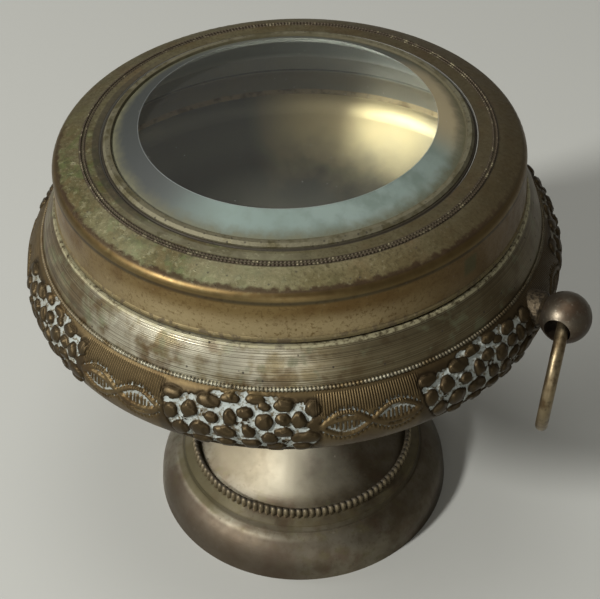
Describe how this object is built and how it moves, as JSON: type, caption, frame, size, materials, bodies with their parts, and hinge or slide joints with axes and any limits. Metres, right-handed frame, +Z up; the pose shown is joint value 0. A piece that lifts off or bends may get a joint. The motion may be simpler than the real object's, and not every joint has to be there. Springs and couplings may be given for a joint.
{
  "type": "footed box",
  "caption": "Round footed paan box of spun brass with an embossed girdle, a slip-on lid with a bevelled glass window and ring handles on ball knobs.",
  "frame": {"origin": "centre of the foot's underside, on the surface that the box stands on", "axes": "+Z up along the box's own axis, +X out through the right-hand knob and ring"},
  "size_m": [0.1499, 0.1287, 0.1192],
  "materials": {
    "foot_brass": "dull tarnished spun brass with a dark brown patina",
    "bowl_brass": "smooth tinned brass, tarnished",
    "solder": "dull soft solder",
    "embossed_brass": "embossed brass, brown in relief with pale residue in its recesses",
    "shoulder_brass": "lathe-lined tarnished brass with verdigris",
    "lid_brass": "satin tarnished brass with green verdigris",
    "bezel_metal": "pitted silvery brass",
    "window_glass": "clear bevelled glass with a pale green edge",
    "knob_brass": "worn brown brass",
    "ring_wire": "worn brass wire"
  },
  "bodies": {
    "root": {"body_solder": "solder", "foot_bead_ring": "foot_brass", "girdle_band": "embossed_brass", "girdle_top_bead": "embossed_brass", "knob_collar_left": "knob_brass", "knob_collar_right": "knob_brass", "knob_left": "knob_brass", "knob_right": "knob_brass", "knob_washer_left": "bowl_brass", "knob_washer_right": "bowl_brass", "lower_bowl": "bowl_brass", "pedestal_foot": "foot_brass", "shoulder_shell": "shoulder_brass", "stem_collar": "foot_brass"},
    "lid": {"lid_bezel": "bezel_metal", "lid_glass": "window_glass", "lid_rolled_edge": "lid_brass", "lid_shell": "lid_brass"},
    "right_ring": {"ring_right": "ring_wire"},
    "left_ring": {"ring_left": "ring_wire"}
  },
  "joints": [
    {"name": "lid_lift", "type": "slide", "parent": "root", "child": "lid", "axis": [0, 0, 1], "range_m": [0, 0.05]},
    {"name": "right_ring_swing", "type": "hinge", "parent": "root", "child": "right_ring", "pos_m": [0.06971, 0, 0.0867], "axis": [0, -1, 0], "range_deg": [-12, 198]},
    {"name": "left_ring_swing", "type": "hinge", "parent": "root", "child": "left_ring", "pos_m": [-0.06843, 0.0133, 0.0867], "axis": [0.1908, 0.9816, 0], "range_deg": [-12, 198]}
  ]
}
